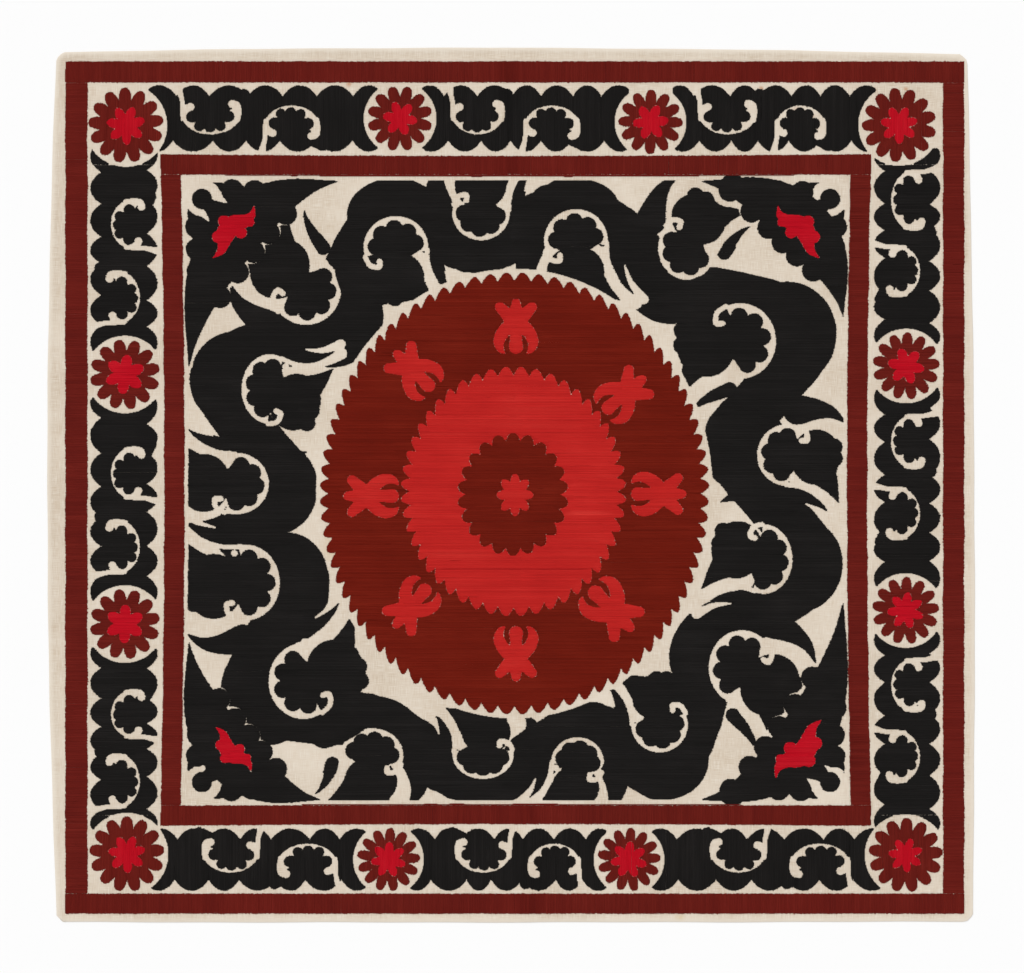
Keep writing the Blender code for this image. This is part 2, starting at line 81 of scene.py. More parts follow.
# Corner sprays. Columns: corner x, y, the ways into the cloth, length up the side, length along the end,
# flame's size.
cornerRows = [
    (-660, 618, 1, -1, 380, 312, 1.0), (680, 618, -1, -1, 280, 297, 1.0),
    (680, -640, -1, 1, 405, 297, 1.1), (-660, -640, 1, 1, 325, 277, 0.85),
]
# One spray, in millimetres from its corner: inwards from the side, inwards from the end, half width.
sprayShape = dict(
    elbow=42, width=54, swell=1.15, outerLobe=22, innerLobe=22, outerStep=47, outerFirst=88, innerLobes=5,
    margin=6, root=[(92, 88, 36), (58, 60, 14)], ball=(42, 46, 20),
    hook=[(17, 48, 4), (19, 64, 5), (31, 71, 5), (44, 69, 2)],
    horn=[(34, 100, 14), (19, 77, 6), (16, 56, 1)],
    flame=[(146, 60, 1), (142, 78, 7), (126, 91, 13), (104, 98, 19), (90, 114, 19), (86, 132, 13),
           (80, 150, 8), (64, 164, 1)],
    buds=[(120, 113, 12), (86, 91, 12), (138, 93, 9), (74, 122, 12)],
    flameMiddle=(104, 108),
)
# Rosettes clockwise from the upper left. Columns: x, y, half size, petals, half size and points of the
# star.
rosetteRows = [
    (-770, 719, 75, 13, 36, 7),
    (-222, 733, 65, 12, 32, 6),
    (279, 726, 64, 12, 33, 6),
    (776, 720, 74, 13, 35, 7),
    (790, 238, 67, 13, 34, 6),
    (789, -251, 67, 13, 34, 7),
    (789, -740, 74, 13, 32, 7),
    (236, -749, 63, 13, 34, 7),
    (-245, -749, 63, 13, 33, 7),
    (-768, -738, 75, 13, 35, 7),
    (-772, -278, 70, 12, 36, 6),
    (-772, 221, 70, 12, 37, 6),
]
petals = dict(depth=24, power=2.6, starInset=15, starDepth=18, starPower=1.8)
# Border scrolls, clockwise round the cloth. Distances run clockwise along each side from its middle.
# Columns: side, middles of the rosettes at its two ends, half widths of its two palmettes.
borderRows = [
    ("top", -770, -222, 60, 56), ("top", -222, 280, 53, 56), ("top", 280, 774, 58, 50),
    ("right", -718, -238, 60, 51), ("right", -238, 250, 54, 52), ("right", 250, 735, 53, 52),
    ("bottom", -789, -236, 60, 56), ("bottom", -236, 246, 52, 56), ("bottom", 246, 766, 60, 57),
    ("left", -733, -278, 54, 48), ("left", -278, 221, 54, 52), ("left", 221, 718, 53, 50),
]
borderShape = dict(
    margin=6, notch=22, arches=7, archPower=2.2, leaves=(0.31, 0.605), leafOut=-3, first=30, uneven=7,
    ends=44, leafHigh=43, leafUp=14, leafOpen=26, bareRosette=8,
)
# One leaf of a border scroll: along in shares of its half width, out in millimetres, half width.
leafShape = dict(
    core=(0.6, 28, 20), stem=((-0.55, 26, 12), (0.45, 30, 14), (1.1, 50, 12)),
    lobes=((-0.82, 4, 11), (-0.5, -20, 10), (-0.04, -25, 11), (0.42, -20, 10), (0.78, 5, 11)),
    channels=(
        ((-0.93, 2, 5), (-0.95, 20, 5), (-0.96, 38, 5), (-1.02, 52, 6), (-1.1, 72, 9)),
        ((0.9, 0, 5), (0.94, 16, 5), (0.88, 30, 6), (0.7, 32, 8)),
        ((-0.96, 14, 4), (-0.86, 23, 6), (-0.68, 26, 8)),
    ),
)
# The two dark red bars. Columns: left, right, top and bottom edge, and how far the middles of the sides
# lean inwards.
barRows = dict(
    outer=(-891, 906, 847, -857, 0), outerInside=(-847, 864, 805, -817, 0),
    inner=(-701, 720, 661, -681, 8), innerInside=(-661, 680, 620, -641, 8),
)
# The border between the bars. Columns: the middle of each side's run, its turn, half of its free height.
sideFrames = dict(
    top=(0, 733, 0, 72), right=(792, 0, -90, 72), bottom=(0, -749, 180, 68), left=(-774, 0, 90, 73),
)
# Toothed forms of the medallion. Columns: x, y, half width, half height, teeth, their depth, power, phase,
# lean.
medallionRows = dict(
    edge=(7, -17, 372, 425, 80, 17, 1.8, 0.0, 0.7),
    ring=(5, -13, 207, 232, 48, 18, 1.9, 0.0, 0.5),
    eye=(4, -19, 95, 107, 22, 16, 2.2),
    floret=(8, -20, 22, 28, 8, 15, 1.7, 0.5),
)


def smoothRun(rows, steps=6):
    # A Catmull-Rom run through rows of x, y, half width.
    points = np.array([rows[0], *rows, rows[-1]], float)
    out = []
    for a, b, c, d in zip(points, points[1:], points[2:], points[3:]):
        for k in range(steps):
            t = k / steps
            bent = (2 * a - 5 * b + 4 * c - d) * t**2 + (3 * b - a - 3 * c + d) * t**3
            out.append(0.5 * (2 * b + (c - a) * t + bent))
    out.append(points[-1])
    return np.array(out)


class Canvas:
    # One signed field for each colour on a square grid, below zero inside the colour.
    def __init__(self, step, colours):
        self.step = step
        self.x = np.arange(clothSpan["left"], clothSpan["right"] + step, step, float)
        self.y = np.arange(clothSpan["bottom"], clothSpan["top"] + step, step, float)
        self.fields = {c: np.full((len(self.y), len(self.x)), 40.0, np.float32) for c in colours}

    def window(self, box):
        left, right, bottom, top = box
        i = slice(*np.searchsorted(self.x, (left, right)))
        j = slice(*np.searchsorted(self.y, (bottom, top)))
        return j, i, self.x[i][None, :], self.y[j][:, None]

    def apply(self, colour, shape, box):
        # Paints a shape in one colour and takes it out of the rest. No colour bares the cloth.
        j, i, x, y = self.window(box)
        depth = shape(x, y).astype(np.float32)
        for name, field in self.fields.items():
            if name == colour:
                field[j, i] = np.minimum(field[j, i], depth)
            else:
                field[j, i] = np.maximum(field[j, i], -depth)


def ellipse(canvas, colour, x0, y0, rx, ry, turned=0.0):
    c, s = math.cos(turned), math.sin(turned)
    def shape(x, y):
        u, v = (x - x0) * c + (y - y0) * s, (y - y0) * c - (x - x0) * s
        return (np.hypot(u / rx, v / ry) - 1) * min(rx, ry)
    grow = max(rx, ry) + 12
    canvas.apply(colour, shape, (x0 - grow, x0 + grow, y0 - grow, y0 + grow))


def run(canvas, colour, rows, steps=6):
    # A round-ended stroke whose half width changes along its way.
    points = smoothRun(rows, steps)
    def shape(x, y):
        best = np.full((y.shape[0], x.shape[1]), 60.0)
        for a, b in zip(points, points[1:]):
            ex, ey = b[0] - a[0], b[1] - a[1]
            t = np.clip(((x - a[0]) * ex + (y - a[1]) * ey) / (ex * ex + ey * ey + 1e-6), 0, 1)
            d = np.hypot(x - a[0] - t * ex, y - a[1] - t * ey) - (a[2] + t * (b[2] - a[2]))
            best = np.minimum(best, d)
        return best
    grow = points[:, 2].max() + 12
    canvas.apply(colour, shape, (points[:, 0].min() - grow, points[:, 0].max() + grow,
                                 points[:, 1].min() - grow, points[:, 1].max() + grow))


def lobeTo(canvas, colour, x0, y0, tip, core, end):
    # A round-ended lobe from a middle out to its tip.
    length = math.hypot(tip[0] - x0, tip[1] - y0)
    ux, uy = (tip[0] - x0) / length, (tip[1] - y0) / length
    run(canvas, colour, ((x0, y0, core), (tip[0] - ux * end, tip[1] - uy * end, end)), 1)


def serrated(canvas, colour, x0, y0, rx, ry, teeth, depth, power=1.7, phase=0.0, lean=0.0):
    # A round form whose rim is a row of evenly spaced teeth.
    t = np.linspace(0, 2 * math.pi, 721)
    length = np.concatenate([[0], np.cumsum(np.hypot(rx * np.diff(np.cos(t)), ry * np.diff(np.sin(t))))])
    length /= length[-1]
    mean = math.sqrt(rx * ry)
    def shape(x, y):
        u, v = (x - x0) / rx, (y - y0) / ry
        rho = np.hypot(u, v) + 1e-9
        angle = np.arctan2(v, u) % (2 * math.pi)
        out = (rho - 1) * np.hypot(x - x0, y - y0) / rho
        slant = lean * (out - depth) * np.sin(2 * angle) / (2 * math.pi * mean) * teeth
        tooth = (np.interp(angle, t, length) * teeth + phase - slant) % 1
        return out - depth * (1 - np.abs(2 * tooth - 1) ** power)
    grow = depth + 22
    canvas.apply(colour, shape, (x0 - rx - grow, x0 + rx + grow, y0 - ry - grow, y0 + ry + grow))


def turnFrame(row):
    # Places a point of the turn's shape. The bud lies on the clockwise side of every turn.
    x0, y0, rx, ry, opens, depth = row
    out = np.array((math.cos(math.radians(opens)), math.sin(math.radians(opens))))
    hand = 1 if out @ (x0, y0) < 0 else -1
    across = hand * np.array((-out[1], out[0]))
    def at(u, v, w=0):
        offset = (u * out + v * across) * (rx, ry)
        return x0 + offset[0], y0 + offset[1], w
    return out, at


def scrollField(canvas, colour):
    # The main scroll: its winding band and roots first, then the hollows, heads, cream channels and spikes
    # of its turns.
    winding = []
    for row, after in zip(turnRows, turnRows[1:] + turnRows[:1]):
        behind = turnFrame(row)[0] * (math.sqrt(row[2] * row[3]) + row[5] / 2)
        winding.append((row[0] - behind[0], row[1] - behind[1], row[5] * 0.5))
        winding.append(((row[0] + after[0]) / 2, (row[1] + after[1]) / 2, turnShape["band"]))
    run(canvas, colour, winding + winding[:2], 4)
    for row in turnRows:
        x0, y0, rx, ry, opens, depth = row
        out, at = turnFrame(row)
        size = math.sqrt(rx * ry)
        half = (size + depth) / 2
        turned, wide = math.radians(opens), size + turnShape["bandOut"]
        ellipse(canvas, colour, x0 - out[0] * half, y0 - out[1] * half, half, wide, turned)
        u, v, longways, sideways = turnShape["root"]
        ellipse(canvas, colour, *at(u, v)[:2], size * longways, size * sideways, turned)
        for tip in turnShape["rootLobes"]:
            lobeTo(canvas, colour, *at(u, v)[:2], at(*tip), turnShape["lobeCore"], turnShape["rootEnd"])
    for x0, y0, rx, ry, opens, _ in turnRows:
        def hollow(x, y):
            turned = (np.degrees(np.arctan2((y - y0) / ry, (x - x0) / rx)) - opens) % 360
            away = np.abs(turned - 180) - turnShape["closed"] / 2
            return np.maximum((np.hypot((x - x0) / rx, (y - y0) / ry) - 1) * min(rx, ry), away)
        canvas.apply(None, hollow, (x0 - rx - 9, x0 + rx + 9, y0 - ry - 9, y0 + ry + 9))
    for row in turnRows:
        at = turnFrame(row)[1]
        ellipse(canvas, colour, row[0], row[1], row[2] * turnShape["head"], row[3] * turnShape["head"])
        for angle in turnShape["lobes"]:
            reach = turnShape["lobeReach"]
            tip = at(reach * math.cos(math.radians(angle)), reach * math.sin(math.radians(angle)))
            lobeTo(canvas, colour, row[0], row[1], tip, turnShape["lobeCore"], turnShape["lobeEnd"])
    for name in ("tail", "spikes", "tail", "slit", "curl"):
        for row in turnRows:
            at = turnFrame(row)[1]
            runs = turnShape[name] if name == "spikes" else [turnShape[name]]
            for points in runs:
                run(canvas, colour if name == "spikes" else None, [at(*point) for point in points])
    for row in turnRows:
        x, y, r = turnFrame(row)[1](*turnShape["bud"])
        ellipse(canvas, None, x, y, r, r)
    canvas.apply(None, lambda x, y: -barFrame(x, y, "innerInside") - fieldMargin, fieldBox)
    x, y, rx, ry, _, depth, *_ = medallionRows["edge"]
    ellipse(canvas, None, x, y, rx + depth + fieldMargin, ry + depth + fieldMargin)


def borderScroll(canvas, colour, row):
    side, start, end, *halves = row
    x0, y0, turn, free = sideFrames[side]
    c, s = round(math.cos(math.radians(turn))), round(math.sin(math.radians(turn)))
    crest, notch, leafShift = free - borderShape["margin"], borderShape["notch"], borderShape["leafOut"]
    random = np.random.default_rng(int(abs(start) + abs(end)))
    def place(u, v):
        return x0 + u * c - v * s, y0 + u * s + v * c
    def local(x, y):
        return (x - x0) * c + (y - y0) * s, -(x - x0) * s + (y - y0) * c
    def notches():
        first = borderShape["first"]
        marks = np.linspace(start + first, end - first, borderShape["arches"] + 1)
        marks[1:-1] += random.uniform(-1, 1, len(marks) - 2) * borderShape["uneven"]
        return marks
    def rim(u, marks):
        # Arches between the notches.
        k = np.clip(np.searchsorted(marks, u) - 1, 0, len(marks) - 2)
        t = np.clip((u - marks[k]) / (marks[k + 1] - marks[k]), 0, 1)
        return crest - notch * np.abs(2 * t - 1) ** borderShape["archPower"]
    outer, inner = notches(), notches()
    def band(x, y):
        u, v = local(x, y)
        ends = np.maximum(start - u, u - end) + borderShape["ends"]
        return np.maximum(np.maximum(v - rim(u, outer), -v - rim(u, inner)), ends) * 0.8 + 0 * x
    corners = [place(start, -80), place(end, 80)]
    xs, ys = [p[0] for p in corners], [p[1] for p in corners]
    canvas.apply(colour, band, (min(xs), max(xs), min(ys), max(ys)))
    high, up = borderShape["leafHigh"], borderShape["leafUp"]
    for share, half, way in zip(borderShape["leaves"], halves, (1, -1)):
        middle = start + share * (end - start)
        def hollow(x, y):
            u, v = local(x, y)
            v = (v - leafShift) * way
            rounded = (np.hypot((u - middle) / half, (v - up) / high) - 1) * high
            return np.maximum(rounded, v - borderShape["leafOpen"])
        px, py = place(middle, 0)
        canvas.apply(None, hollow, (px - 90, px + 90, py - 90, py + 90))
        def at(u, v, w):
            return (*place(middle + u * half, v * way + leafShift), w)
        px, py = place(middle, up * way + leafShift)
        wide, tall, core = leafShape["core"]
        ellipse(canvas, colour, px, py, *((half * wide, tall) if c else (tall, half * wide)))
        run(canvas, colour, [at(*point) for point in leafShape["stem"]], 1)
        for lobe in leafShape["lobes"]:
            *tip, w = at(*lobe)
            lobeTo(canvas, colour, px, py, tip, core, w)
        for channel in leafShape["channels"]:
            run(canvas, None, [at(*point) for point in channel])
    bare = borderShape["bareRosette"]
    for x, y, r, *_ in rosetteRows:
        if start - 20 < local(x, y)[0] < end + 20 and abs(local(x, y)[1]) < 40:
            ellipse(canvas, None, x, y, r + bare, r + bare)


def cornerSpray(canvas, row, dark, bright):
    # Bares a margin round the spray first, so that it stands clear of the scroll.
    cornerX, cornerY, wayX, wayY, up, along, flameSize = row
    shape = sprayShape
    def at(u, v, w=0):
        return cornerX + u * wayX, cornerY + v * wayY, w
    def bent(t):
        ends = (1 - t) ** 2 * np.array((16, up)) + t**2 * np.array((along, 11))
        u, v = ends + 2 * t * (1 - t) * shape["elbow"]
        return u, v, max(1.0, shape["width"] * math.sin(math.pi * t) ** shape["swell"])
    spine = [bent(t) for t in np.linspace(0, 1, 17)]
    outer = [(13, v) for v in np.arange(shape["outerFirst"], up - 110, shape["outerStep"])]
    outer += [(u, 12) for u in np.arange(shape["outerFirst"], along - 50, shape["outerStep"])]
    inner = []
    for t in np.linspace(0.25, 0.76, shape["innerLobes"]):
        (u, v, w), (nextU, nextV, _) = bent(t), bent(t + 0.01)
        length = math.hypot(nextU - u, nextV - v)
        away = (w + shape["innerLobe"]) / length
        inner.append((u + (v - nextV) * away, v + (nextU - u) * away))
    for colour, grow in ((None, shape["margin"]), (dark, 0)):
        run(canvas, colour, [at(u, v, w + grow) for u, v, w in spine], 2)
        for tips, end in ((outer, shape["outerLobe"]), (inner, shape["innerLobe"])):
            for tip in tips:
                near = min(spine, key=lambda point: math.dist(point[:2], tip) - 0.3 * point[2])
                lobeTo(canvas, colour, *at(*near[:2])[:2], at(*tip), end + 4 + grow, end + grow)
        run(canvas, colour, [at(*point) for point in shape["root"]], 1)
        u, v, r = shape["ball"]
        ellipse(canvas, colour, *at(u, v)[:2], r + grow, r + grow)
        for flip in (False, True):
            run(canvas, colour, [at(*((v, u) if flip else (u, v)), w) for u, v, w in shape["horn"]])
    for flip in (False, True):
        run(canvas, None, [at(*((v, u) if flip else (u, v)), w) for u, v, w in shape["hook"]])
    middleU, middleV = shape["flameMiddle"]
    def sized(u, v, w):
        u, v = middleU + (u - middleU) * flameSize, middleV + (v - middleV) * flameSize
        return at(u, v, w * flameSize)
    run(canvas, bright, [sized(*point) for point in shape["flame"]])
    for bud in shape["buds"]:
        x, y, r = sized(*bud)
        ellipse(canvas, bright, x, y, r, r)


# Sprigs in the medallion. Columns: x, y of the hub, turn in degrees, size.
sprigRows = [
    (10, 322, 90, 1.0), (-198, 232, 135, 1.0), (230, 184, 40, 1.0), (300, -18, 0, 1.0),
    (205, -252, -45, 1.1), (10, -342, -90, 1.0), (-202, -246, 230, 1.0), (-284, -22, 180, 1.0),
]
# Parts of a sprig that points along +X. Columns: x, y, half width.
sprigRuns = [
    ((0, 0, 17), (24, 0, 13), (42, 0, 9)),
    ((0, 0, 16), (18, 17, 13), (34, 32, 10)),
    ((0, 0, 16), (18, -17, 13), (34, -32, 10)),
    ((0, 6, 15), (-14, 24, 13), (-34, 34, 11), (-50, 31, 7), (-58, 23, 2)),
    ((0, 0, 15), (-25, 0, 12), (-46, 0, 14)),
    ((0, -6, 15), (-14, -24, 13), (-34, -34, 11), (-50, -31, 7), (-58, -23, 2)),
]


def medallion(canvas):
    for colour, form in (("medallion", "edge"), ("ring", "ring"), ("medallion", "eye"), ("ring", "floret")):
        serrated(canvas, colour, *medallionRows[form])
    for x, y, turn, size in sprigRows:
        c, s = math.cos(math.radians(turn)) * size, math.sin(math.radians(turn)) * size
        for rows in sprigRuns:
            run(canvas, "ring", [(x + u * c - v * s, y + u * s + v * c, w * size) for u, v, w in rows], 4)


def barFrame(x, y, name):
    # A bar's edge: it leans in a little at the middle of each side and wavers with the needlework.
    left, right, top, bottom, lean = barRows[name]
    def waver(at, seed):
        bow = lean * np.clip(1 - (at / 660) ** 2, 0, 1)
        return bow + 0.5 * np.sin(at / 31 + seed) + 0.4 * np.sin(at / 9.7 + 2 * seed)
    return np.maximum(np.maximum(left + waver(y, left) - x, x - right + waver(y, right)),
                      np.maximum(bottom + 0.4 * waver(x, bottom) - y, y - top + 0.4 * waver(x, top)))


def rosette(canvas, row, dark, bright):
    x, y, half, count, starHalf, points = row
    rx = half - petals["depth"]
    serrated(canvas, dark, x, y, rx, rx, count, petals["depth"], petals["power"], x / 37)
    rx = starHalf - petals["starInset"]
    serrated(canvas, bright, x, y, rx, rx, points, petals["starDepth"], petals["starPower"], y / 31)


def drawCloth(step):
    canvas = Canvas(step, ("black", "bar", "rosette", "medallion", "ring", "star"))
    whole = (clothSpan["left"], clothSpan["right"] + 10, clothSpan["bottom"], clothSpan["top"] + 10)
    scrollField(canvas, "black")
    for row in cornerRows:
        cornerSpray(canvas, row, "black", "star")
    medallion(canvas)
    for row in borderRows:
        borderScroll(canvas, "black", row)
    for row in rosetteRows:
        rosette(canvas, row, "rosette", "star")
    for outside, inside in (("outer", "outerInside"), ("inner", "innerInside")):
        def bar(x, y):
            return np.maximum(barFrame(x, y, outside), -barFrame(x, y, inside))
        canvas.apply("bar", bar, whole)
    return canvas


# The cloth's own edge, side by side clockwise from the lower left: where a side starts, and how far its
# middle bulges.
rim = dict(width=1856, length=1750, corner=13, stations=9)
sideRows = [(-908, -874, 19), (-909, 866, 11), (914, 862, 9), (925, -873, 1)]


def rimPoints():
    # Bowed sides with blunt corners, brought to the cloth's width and length and centred on it.
    points = []
    for (x, y, bulge), (endX, endY, _) in zip(sideRows, sideRows[1:] + sideRows[:1]):
        long = math.dist((x, y), (endX, endY))
        across, along = (endX - x) / long, (endY - y) / long
        for t in np.linspace(rim["corner"] / long, 1 - rim["corner"] / long, rim["stations"]):
            out = 4 * t * (1 - t) * bulge
            points.append((x + across * t * long - along * out, y + along * t * long + across * out))
    points = np.array(points)
    low, high = points.min(axis=0), points.max(axis=0)
    return (points - (low + high) / 2) * (rim["width"], rim["length"]) / (high - low)


rimRows = rimPoints()


def linear(r, g, b):
    shares = [v / 255 for v in (r, g, b)]
    return (*[v / 12.92 if v <= 0.04 else ((v + 0.055) / 1.055) ** 2.4 for v in shares], 1.0)


# Camera: straight above the cloth, as in the photograph
view = dict(x=0.002, y=-0.003, height=8.0, span=2.048, sensor=36.0)
cameraData = bpy.data.cameras.new("camera")
camera = bpy.data.objects.new("camera", cameraData)
bpy.context.scene.collection.objects.link(camera)
camera.location = (view["x"], view["y"], view["height"])
cameraData.sensor_width = view["sensor"]
cameraData.lens = view["sensor"] * view["height"] / view["span"]
cameraData.clip_end = 60
bpy.context.scene.camera = camera
print("camera set")


# Heights of the laid cloth, in millimetres: the old storage folds and a faint unevenness
creases = dict(
    middle=[(-18, 882), (-12, 700), (2, 400), (20, 10), (30, -400), (38, -880)],
    middleRise=[(882, 3.4), (640, 3.0), (300, 1.3), (0, 1.1), (-500, 1.5), (-880, 2.2)],
    middleHalf=13.0, across=305.0, acrossRise=0.7, acrossHalf=15.0, waves=0.45,
)
ground = dict(
    thick=1.1, top=1.5, grid=13.0, hemWide=11.0, hemRise=0.75, rimStep=9.0, rimWaver=0.7,
    cream=linear(226, 211, 192), deep=linear(205, 186, 163), pale=linear(236, 226, 211),
)


def clothHeight(x, y):
    # How far the laid cloth stands above its flat thickness.
    xs, ys = zip(*reversed(creases["middle"]))
    line = np.interp(y, ys, xs) + 2.0 * np.sin(y / 61.0)
    at, rise = zip(*reversed(creases["middleRise"]))
    away = np.abs(x - line) / creases["middleHalf"]
    fold = np.interp(y, at, rise) * np.exp(-away ** 1.25)
    level = creases["across"] + 5 * np.sin(x / 170.0)
    edge = np.clip((np.abs(x) - 560) / 200, 0, 1)
    fold = fold + creases["acrossRise"] * edge * np.exp(-(np.abs(y - level) / creases["acrossHalf"]) ** 1.3)
    swell = np.sin(x / 143.0 + 0.4) * np.sin(y / 119.0 + 1.1) + 0.6 * np.sin(x / 67.0 + y / 91.0)
    return fold + creases["waves"] * (swell + 1.6) / 2.6


# Shader groups used by more than one material
def shaderGroup(name, inputs, outputs):
    tree = bpy.data.node_groups.new(name, "ShaderNodeTree")
    for label, kind, value in inputs:
        socket = tree.interface.new_socket(label, in_out="INPUT", socket_type=kind)
        if value is not None:
            socket.default_value = value
    for label, kind in outputs:
        tree.interface.new_socket(label, in_out="OUTPUT", socket_type=kind)
    return tree, tree.nodes.new("NodeGroupInput"), tree.nodes.new("NodeGroupOutput")


def mathNode(tree, operation, a, b=None, clamp=False):
    node = tree.nodes.new("ShaderNodeMath")
    node.operation = operation
    node.use_clamp = clamp
    for k, value in enumerate((a, b)):
        if value is None:
            continue
        if isinstance(value, (int, float)):
            node.inputs[k].default_value = value
        else:
            tree.links.new(value, node.inputs[k])
    return node.outputs[0]


def mixColour(tree, factor, a, b):
    node = tree.nodes.new("ShaderNodeMix")
    node.data_type = "RGBA"
    for socket, value in ((node.inputs[0], factor), (node.inputs[6], a), (node.inputs[7], b)):
        if hasattr(value, "is_output"):
            tree.links.new(value, socket)
        else:
            socket.default_value = value
    return node.outputs[2]


def scaled(tree, vector, scale):
    node = tree.nodes.new("ShaderNodeMapping")
    node.inputs["Scale"].default_value = scale
    tree.links.new(vector, node.inputs["Vector"])
    return node.outputs["Vector"]


def noise(tree, vector, scale, detail=2.0, roughness=0.5):
    node = tree.nodes.new("ShaderNodeTexNoise")
    tree.links.new(vector, node.inputs["Vector"])
    node.inputs["Scale"].default_value = scale
    node.inputs["Detail"].default_value = detail
    node.inputs["Roughness"].default_value = roughness
    return node.outputs[0]


def spread(tree, value, low, high):
    node = tree.nodes.new("ShaderNodeMapRange")
    node.inputs["From Min"].default_value = low
    node.inputs["From Max"].default_value = high
    tree.links.new(value, node.inputs["Value"])
    return node.outputs["Result"]


def fibreGroup():
    # Silk floss: fine fibres along a thread, and slow changes of dye along its length.
    tree, come, go = shaderGroup("silkFibre", [
        ("Vector", "NodeSocketVector", None), ("Tone", "NodeSocketFloat", 0.5),
        ("Dark", "NodeSocketColor", None), ("Middle", "NodeSocketColor", None),
        ("Light", "NodeSocketColor", None), ("Along", "NodeSocketVector", None)],
        [("Colour", "NodeSocketColor"), ("Height", "NodeSocketFloat")])
    stretch = tree.nodes.new("ShaderNodeVectorMath")
    stretch.operation = "MULTIPLY"
    tree.links.new(come.outputs["Vector"], stretch.inputs[0])
    tree.links.new(come.outputs["Along"], stretch.inputs[1])
    fine = noise(tree, stretch.outputs[0], 1.0, 3.0, 0.6)
    slow = noise(tree, come.outputs["Vector"], 9.0, 2.0, 0.55)
    tone = come.outputs["Tone"]
    for wave, strength in ((fine, 0.5), (slow, 0.25)):
        change = mathNode(tree, "MULTIPLY", mathNode(tree, "SUBTRACT", wave, 0.5), strength)
        tone = mathNode(tree, "ADD", tone, change)
    low = mixColour(tree, spread(tree, tone, 0.0, 0.5), come.outputs["Dark"], come.outputs["Middle"])
    both = mixColour(tree, spread(tree, tone, 0.5, 1.0), low, come.outputs["Light"])
    tree.links.new(both, go.inputs["Colour"])
    tree.links.new(fine, go.inputs["Height"])
    return tree


def spotGroup():
    # One stain: an uneven blot round a point.
    tree, come, go = shaderGroup("stainSpot", [
        ("Vector", "NodeSocketVector", None), ("Centre", "NodeSocketVector", None),
        ("Radius", "NodeSocketFloat", 0.01), ("Strength", "NodeSocketFloat", 1.0)],
        [("Mask", "NodeSocketFloat")])
    away = tree.nodes.new("ShaderNodeVectorMath")
    away.operation = "DISTANCE"
    tree.links.new(come.outputs["Vector"], away.inputs[0])
    tree.links.new(come.outputs["Centre"], away.inputs[1])
    rough = mathNode(tree, "MULTIPLY", noise(tree, come.outputs["Vector"], 160.0, 3.0), 0.9)
    reach = mathNode(tree, "DIVIDE", away.outputs["Value"], come.outputs["Radius"])
    soft = mathNode(tree, "SUBTRACT", 1.45, mathNode(tree, "ADD", reach, rough), clamp=True)
    mask = mathNode(tree, "MULTIPLY", soft, come.outputs["Strength"], clamp=True)
    tree.links.new(mask, go.inputs["Mask"])
    return tree


silkFibre = fibreGroup()
stainSpot = spotGroup()


def newMaterial(name, roughness, specular):
    material = bpy.data.materials.new(name)
    material.use_nodes = True
    tree = material.node_tree
    shader = tree.nodes["Principled BSDF"]
    shader.inputs["Roughness"].default_value = roughness
    shader.inputs["Specular IOR Level"].default_value = specular
    place = tree.nodes.new("ShaderNodeTexCoord").outputs["Object"]
    return material, tree, shader, place


def silk(name, dark, middle, light, alongX, roughness=0.6, specular=0.05, relief=0.25):
    material, tree, shader, place = newMaterial(name, roughness, specular)
    fibre = tree.nodes.new("ShaderNodeGroup")
    fibre.node_tree = silkFibre
    fibre.inputs["Along"].default_value = (26, 900, 200) if alongX else (900, 26, 200)
    fibre.inputs["Dark"].default_value = dark
    fibre.inputs["Middle"].default_value = middle
    fibre.inputs["Light"].default_value = light
    tone = tree.nodes.new("ShaderNodeAttribute")
    tone.attribute_name = "tone"
    tree.links.new(place, fibre.inputs["Vector"])
    tree.links.new(tone.outputs["Fac"], fibre.inputs["Tone"])
    tree.links.new(fibre.outputs["Colour"], shader.inputs["Base Color"])
    bump = tree.nodes.new("ShaderNodeBump")
    bump.inputs["Strength"].default_value = relief
    bump.inputs["Distance"].default_value = 0.0004
    tree.links.new(fibre.outputs["Height"], bump.inputs["Height"])
    tree.links.new(bump.outputs["Normal"], shader.inputs["Normal"])
    return material


# Stains on the cotton. Columns: x, y, radius in millimetres, strength, colour name.
stainRows = [
    (-324, 802, 7, 0.9, "rust"), (500, 794, 6, 0.9, "rust"), (572, 744, 16, 0.55, "rust"),
    (600, 738, 9, 0.5, "rust"), (726, 790, 6, 0.9, "rust"), (790, 792, 6, 0.9, "rust"),
    (-357, -127, 30, 0.5, "straw"), (618, -183, 6, 0.8, "brown"), (338, -866, 12, 0.6, "straw"),
]
stainColours = dict(rust=linear(196, 138, 96), straw=linear(214, 190, 142), brown=linear(150, 112, 84))


